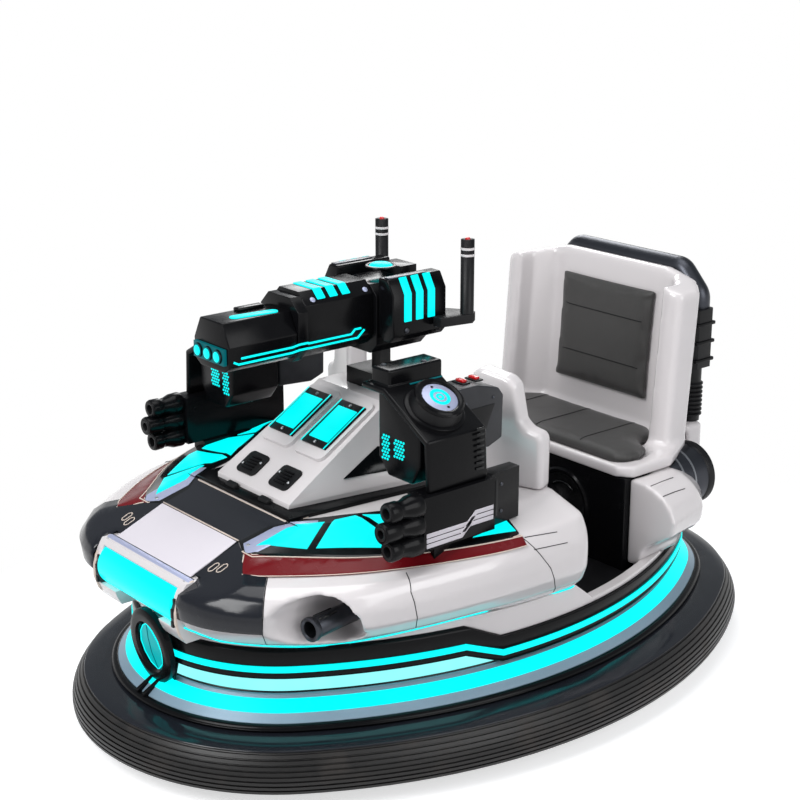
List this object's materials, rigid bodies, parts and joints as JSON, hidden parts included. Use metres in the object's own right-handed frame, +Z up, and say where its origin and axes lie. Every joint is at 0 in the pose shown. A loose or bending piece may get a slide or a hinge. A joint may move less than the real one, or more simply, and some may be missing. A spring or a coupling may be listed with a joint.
{
  "type": "bumper car",
  "caption": "Electric bumper car with an oval ring bumper, lit band, open one-seat cockpit and a swivelling toy gun turret.",
  "frame": {"origin": "on the floor under the centre of the bumper ring", "axes": "the car faces -Y, +X is its own left side, +Z is up"},
  "size_m": [1.2, 1.76, 1.036],
  "materials": {
    "rubber_black": "matte",
    "deck_steel": "satin black",
    "slate_gloss": "glossy dark slate",
    "silver_blue": "metallic silver blue",
    "cyan_light": "lit cyan diffuser",
    "white_shell": "satin off-white",
    "black_plastic": "matte black",
    "maroon": "gloss maroon",
    "pale_light": "lit pale cyan diffuser",
    "black_gloss": "glossy black",
    "lilac_silver": "metallic",
    "gun_grey": "satin grey",
    "alloy": "machined",
    "steel": "zinc plated",
    "cushion": "grained dark grey",
    "tyre_rubber": "matte",
    "battery_case": "matte"
  },
  "bodies": {
    "root": {"bumper_skirt": "rubber_black", "chassis_deck": "deck_steel", "bumper_shoulder": "slate_gloss", "apron_trim": "black_plastic", "light_band": "silver_blue", "ring_lights": "cyan_light", "rail_moulding": "black_gloss", "glow_panel": "pale_light", "floor_pan": "deck_steel", "hull_sill": "white_shell", "hull_shell": "white_shell", "nose_panels": "slate_gloss", "red_stripes": "maroon", "side_windows": "cyan_light", "nose_plate": "white_shell", "nose_light": "cyan_light", "nose_rim": "white_shell", "front_badge": "black_plastic", "flank_nozzles": "alloy", "cowl_base": "black_plastic", "cowl": "white_shell", "cowl_panels": "black_plastic", "turret_post": "black_plastic", "gun_saddles": "black_gloss", "saddle_knobs": "black_gloss", "speaker_pods": "black_gloss", "gun_boxes": "black_gloss", "gun_barrels": "black_plastic", "cockpit_shields": "white_shell", "switch_boxes": "black_plastic", "seat_box": "black_plastic", "battery_block": "battery_case", "seat_speakers": "black_plastic", "seat_shell": "white_shell", "seat_pad": "cushion", "back_pad": "cushion", "fenders": "white_shell", "rear_fairing": "white_shell", "thruster_drums": "gun_grey", "rear_tanks": "black_plastic", "roll_tube": "black_plastic", "drive_motors": "gun_grey", "caster_mounts": "steel"},
    "turret": {"turret_hub": "black_gloss", "gun_breech": "black_gloss", "gun_front": "black_gloss", "gun_lamps": "black_plastic", "turret_lights": "cyan_light", "turret_pods": "black_gloss", "turret_handles": "black_plastic"},
    "drive_wheel_left": {"tyre_left": "tyre_rubber", "wheel_hub_left": "alloy"},
    "drive_wheel_right": {"tyre_right": "tyre_rubber", "wheel_hub_right": "alloy"},
    "caster_front": {"caster_fork_front": "steel"},
    "caster_rear": {"caster_fork_rear": "steel"},
    "caster_front_wheel": {"caster_wheel_front": "tyre_rubber"},
    "caster_rear_wheel": {"caster_wheel_rear": "tyre_rubber"}
  },
  "joints": [
    {"name": "turret_yaw", "type": "hinge", "parent": "root", "child": "turret", "pos_m": [0, -0.13, 0.79], "axis": [0, 0, 1], "range_deg": [-30, 30]},
    {"name": "drive_left", "type": "hinge", "parent": "root", "child": "drive_wheel_left", "pos_m": [0.28, 0, 0.075], "axis": [1, 0, 0], "continuous": true},
    {"name": "drive_right", "type": "hinge", "parent": "root", "child": "drive_wheel_right", "pos_m": [-0.28, 0, 0.075], "axis": [1, 0, 0], "continuous": true},
    {"name": "caster_front_swivel", "type": "hinge", "parent": "root", "child": "caster_front", "pos_m": [0, -0.59, 0.093], "axis": [0, 0, 1], "continuous": true},
    {"name": "caster_rear_swivel", "type": "hinge", "parent": "root", "child": "caster_rear", "pos_m": [0, 0.59, 0.093], "axis": [0, 0, 1], "continuous": true},
    {"name": "caster_front_roll", "type": "hinge", "parent": "caster_front", "child": "caster_front_wheel", "pos_m": [0, -0.56, 0.04], "axis": [1, 0, 0], "continuous": true},
    {"name": "caster_rear_roll", "type": "hinge", "parent": "caster_rear", "child": "caster_rear_wheel", "pos_m": [0, 0.62, 0.04], "axis": [1, 0, 0], "continuous": true}
  ]
}
